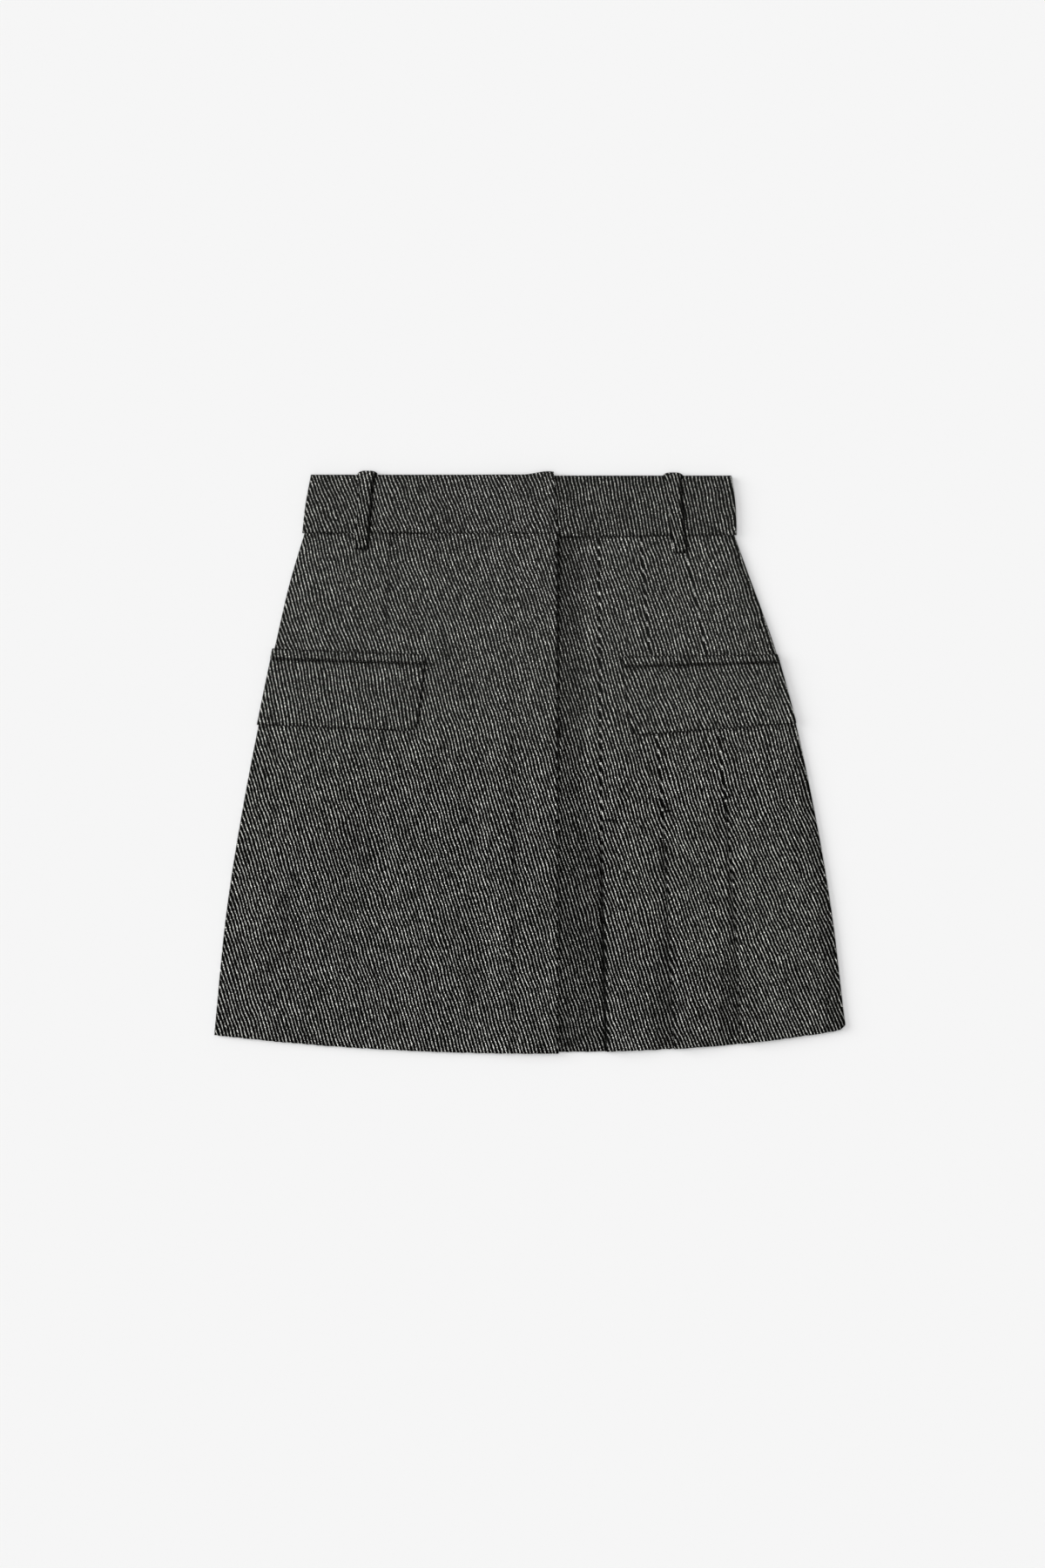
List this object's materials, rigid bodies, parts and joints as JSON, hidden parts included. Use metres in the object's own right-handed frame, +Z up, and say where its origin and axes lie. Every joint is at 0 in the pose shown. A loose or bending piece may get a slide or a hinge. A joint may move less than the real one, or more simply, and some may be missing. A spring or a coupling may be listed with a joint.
{
  "type": "mini skirt",
  "caption": "A-line wool twill mini skirt laid flat, with a lapped front, knife pleats on one side, flap pockets, a waistband and belt loops.",
  "frame": {"origin": "under the middle of the skirt's bounding box, on the surface that it lies on", "axes": "+X across the skirt from the wearer's right to the wearer's left, +Y from the hem up to the waist, +Z up off the surface, out of the skirt's front"},
  "size_m": [0.5074, 0.4676, 0.0079],
  "materials": {
    "wool_twill": "dark grey wool twill with broken pale ridges, matt"
  },
  "bodies": {
    "root": {"back_panel": "wool_twill", "right_front": "wool_twill", "left_front": "wool_twill", "waistband_back": "wool_twill", "waistband_right": "wool_twill", "waistband_left": "wool_twill", "right_pocket_welt": "wool_twill", "right_pocket_flap": "wool_twill", "left_pocket_welt": "wool_twill", "left_pocket_flap": "wool_twill", "belt_loop_right": "wool_twill", "belt_loop_left": "wool_twill"}
  },
  "joints": []
}
